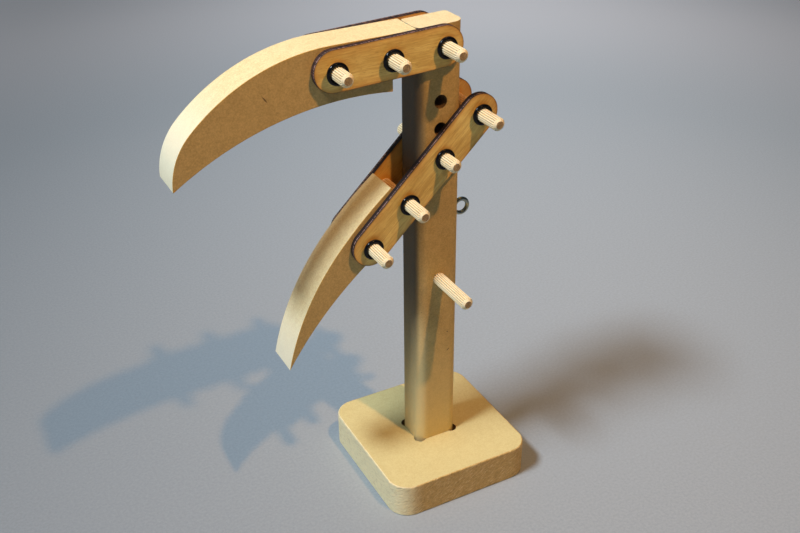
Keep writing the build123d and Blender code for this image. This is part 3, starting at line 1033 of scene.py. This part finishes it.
def ring_to(bm, edges, land, bottom, level):
    """Extrude a loop to a level. Its vertices get the radius of the lands or of a groove's bottom."""
    made = bmesh.ops.extrude_edge_only(bm, edges=edges)["geom"]
    groove = bm.verts.layers.float["groove"]
    for vert in [part for part in made if isinstance(part, bmesh.types.BMVert)]:
        turn = Vector((vert.co.x, vert.co.y))
        place = round((turn.angle_signed(Vector((1, 0))) % (2 * pi)) / (2 * pi) * CIRCLE_POINTS)
        depth = FLUTE_SHAPE[place % len(FLUTE_SHAPE)]
        turn = turn.normalized() * (land + depth * (bottom - land))
        vert.co = Vector((turn.x, turn.y, level))
        vert[groove] = depth if bottom != land else 0.0
    return [part for part in made if isinstance(part, bmesh.types.BMEdge)]


def dowel_mesh():
    bm = bmesh.new()
    bm.verts.layers.float.new("groove")
    low = DOWEL_RADIUS - CHAMFER
    bottom = DOWEL_RADIUS - FLUTE_DEPTH
    bmesh.ops.create_circle(bm, cap_ends=True, segments=CIRCLE_POINTS, radius=low - END_ROUND)
    edges = bm.edges[:]
    stations = [
        (low, low, END_ROUND),
        (bottom, bottom, CHAMFER - FLUTE_DEPTH),
        (DOWEL_RADIUS, bottom, CHAMFER),
        (DOWEL_RADIUS, bottom, DOWEL_LENGTH - CHAMFER),
        (bottom, bottom, DOWEL_LENGTH - CHAMFER + FLUTE_DEPTH),
        (low, low, DOWEL_LENGTH - END_ROUND),
        (low - END_ROUND, low - END_ROUND, DOWEL_LENGTH)]
    for station in stations:
        edges = ring_to(bm, edges, *station)
    bmesh.ops.contextual_create(bm, geom=edges)
    bmesh.ops.recalc_face_normals(bm, faces=bm.faces)
    bm.normal_update()
    for face in bm.faces:
        face.material_index = DOWEL_END if abs(face.normal.z) > 0.97 else DOWEL_SIDE
    return bm


def dowel(name, link, position, reach, spin, body):
    """A dowel along Y whose near end stands at y = -reach, turned on its axis by a chance angle."""
    bm = dowel_mesh()
    centre = on_link(link, position)
    upright = Matrix.Rotation(-pi / 2, 4, "X") @ Matrix.Rotation(radians(spin), 4, "Z")
    bmesh.ops.transform(bm, matrix=Matrix.Translation((centre.x, -reach, centre.z)) @ upright,
                        verts=bm.verts)
    finish_piece(name + "_piece", bm, [dowel_side, dowel_end], body)


post_link = Matrix.Translation((0, 0, PEG_HEIGHT))
# name, link, position, reach in front in mm, chance turn in degrees, body, gap to the near ring in mm
dowel_rows = [
    ("upper_front", upper_link, upper_positions[0], 24.5, 4, "stand", 2.0),
    ("upper_middle", upper_link, upper_positions[1], 25.2, 13, "stand", 1.5),
    ("upper_post", upper_link, upper_positions[2], 26.5, 9, "stand", 1.1),
    ("lower_front", lower_link, lower_positions[0], 28.2, 17, "jaw", 0.9),
    ("lower_heel", lower_link, lower_positions[1], 28.0, 2, "jaw", 1.2),
    ("jaw_pivot", lower_link, lower_positions[2], 23.2, 11, "jaw", 0.25),
    ("lever", lower_link, lower_positions[3], 28.0, 6, "jaw", 1.1)]
for name, link, position, reach, spin, body, ring_gap in dowel_rows:
    dowel(name + "_dowel", link, position, reach * MM, spin, body)
dowel("post_peg", post_link, 0, 35.5 * MM, 7, "stand")

# %% [markdown]
# ## Rubber rings
# A rubber ring grips each dowel outside its plate. A ring is a small circle spun once round the
# dowel's axis, which is the simplest way to any ring. The near rings were pushed on by hand and stop
# a little short of the plate, each at its own distance, which is the last number of a dowel's row.
# The far ones don't show in the photograph, so all of those stand equally close.

# %% Rings
RING_SECTION = 0.9 * MM
RING_GRIP = 0.02 * MM
FAR_RING_GAP = 0.25


def ring(name, link, position, plate_gap, ring_gap, side, body):
    bm = bmesh.new()
    bmesh.ops.create_circle(bm, cap_ends=False, segments=16, radius=RING_SECTION)
    bmesh.ops.translate(bm, vec=(DOWEL_RADIUS + RING_GRIP + RING_SECTION, 0, 0), verts=bm.verts)
    bmesh.ops.spin(bm, geom=bm.edges[:] + bm.verts[:], cent=(0, 0, 0), axis=(0, 1, 0), dvec=(0, 0, 0),
                   angle=2 * pi, steps=56, use_merge=True, use_duplicate=False)
    bmesh.ops.remove_doubles(bm, verts=bm.verts, dist=0.001 * MM)
    bmesh.ops.recalc_face_normals(bm, faces=bm.faces)
    centre = on_link(link, position)
    out_by = plate_gap + PLATE_THICKNESS + ring_gap * MM + RING_SECTION
    centre.y = side * (CLAW_THICKNESS / 2 + out_by)
    bmesh.ops.translate(bm, vec=centre, verts=bm.verts)
    finish_piece(name + "_piece", bm, [rubber], body)


for name, link, position, reach, spin, body, ring_gap in dowel_rows:
    plate_gap = UPPER_GAP if body == "stand" else LOWER_GAP
    ring(name + "_ring_near", link, position, plate_gap, ring_gap, -1, body)
    ring(name + "_ring_far", link, position, plate_gap, FAR_RING_GAP, 1, body)

# %% [markdown]
# ## Screw eye
# A screw eye is one wire: a pointed, threaded shank that bends round into a ring and stops just short
# of itself. The ring is a circle spun by most of a turn. The shank is a cone and a cylinder along X,
# and its thread is a small triangle spun round it while it moves along.

# %% Screw eye
EYE_HEIGHT = 141.6 * MM
EYE_RING = 3.5 * MM
EYE_WIRE = 1.0 * MM
EYE_X = 16.5 * MM
EYE_SHANK = 0.9 * MM
CORE_RADIUS = 0.92 * EYE_SHANK
TIP_RADIUS = 0.2 * EYE_SHANK
THREAD_SIZE = 0.34 * MM
THREAD_PITCH = 0.9 * MM
THREAD_TURNS = 9
SHANK_END = 2.0 * MM
POINT = 2.5 * MM
EYE_OPENING = radians(14)

bm = bmesh.new()
bmesh.ops.create_circle(bm, cap_ends=True, segments=20, radius=EYE_WIRE)
bmesh.ops.translate(bm, vec=(-EYE_RING, 0, 0), verts=bm.verts)
bmesh.ops.transform(bm, matrix=Matrix.Rotation(EYE_OPENING, 4, "Y"), verts=bm.verts)
bmesh.ops.spin(bm, geom=bm.faces[:], cent=(0, 0, 0), axis=(0, 1, 0), dvec=(0, 0, 0),
               angle=2 * pi - EYE_OPENING, steps=60, use_merge=False, use_duplicate=False)
bmesh.ops.recalc_face_normals(bm, faces=bm.faces)
bmesh.ops.translate(bm, vec=(EYE_X, 0, 0), verts=bm.verts)

shank_start = EYE_X - EYE_RING
shank_length = shank_start - (SHANK_END + POINT)
along_x = Matrix.Rotation(pi / 2, 4, "Y")
for first, depth, end_radius in ((SHANK_END + POINT, shank_length, CORE_RADIUS),
                                 (SHANK_END, POINT, TIP_RADIUS)):
    bmesh.ops.create_cone(bm, cap_ends=True, segments=24, radius1=end_radius, radius2=CORE_RADIUS,
                          depth=depth, matrix=Matrix.Translation((first + depth / 2, 0, 0)) @ along_x)
thread = bmesh.new()
bmesh.ops.create_circle(thread, cap_ends=True, segments=3, radius=THREAD_SIZE)
bmesh.ops.transform(thread, matrix=Matrix.Rotation(pi / 2, 4, "Z"), verts=thread.verts)
bmesh.ops.translate(thread, vec=(SHANK_END + POINT, EYE_SHANK * 0.80, 0), verts=thread.verts)
turn_steps = 24
bmesh.ops.spin(thread, geom=thread.faces[:], cent=(0, 0, 0), axis=(1, 0, 0),
               dvec=(THREAD_PITCH / turn_steps, 0, 0), angle=2 * pi * THREAD_TURNS,
               steps=turn_steps * THREAD_TURNS, use_merge=False, use_duplicate=False)
bmesh.ops.recalc_face_normals(thread, faces=thread.faces)
thread_mesh = bpy.data.meshes.new("thread")
thread.to_mesh(thread_mesh)
thread.free()
bm.from_mesh(thread_mesh)
bpy.data.meshes.remove(thread_mesh)
bmesh.ops.translate(bm, vec=(0, 0, EYE_HEIGHT), verts=bm.verts)
finish_piece("screw_eye_piece", bm, [zinc], "stand")
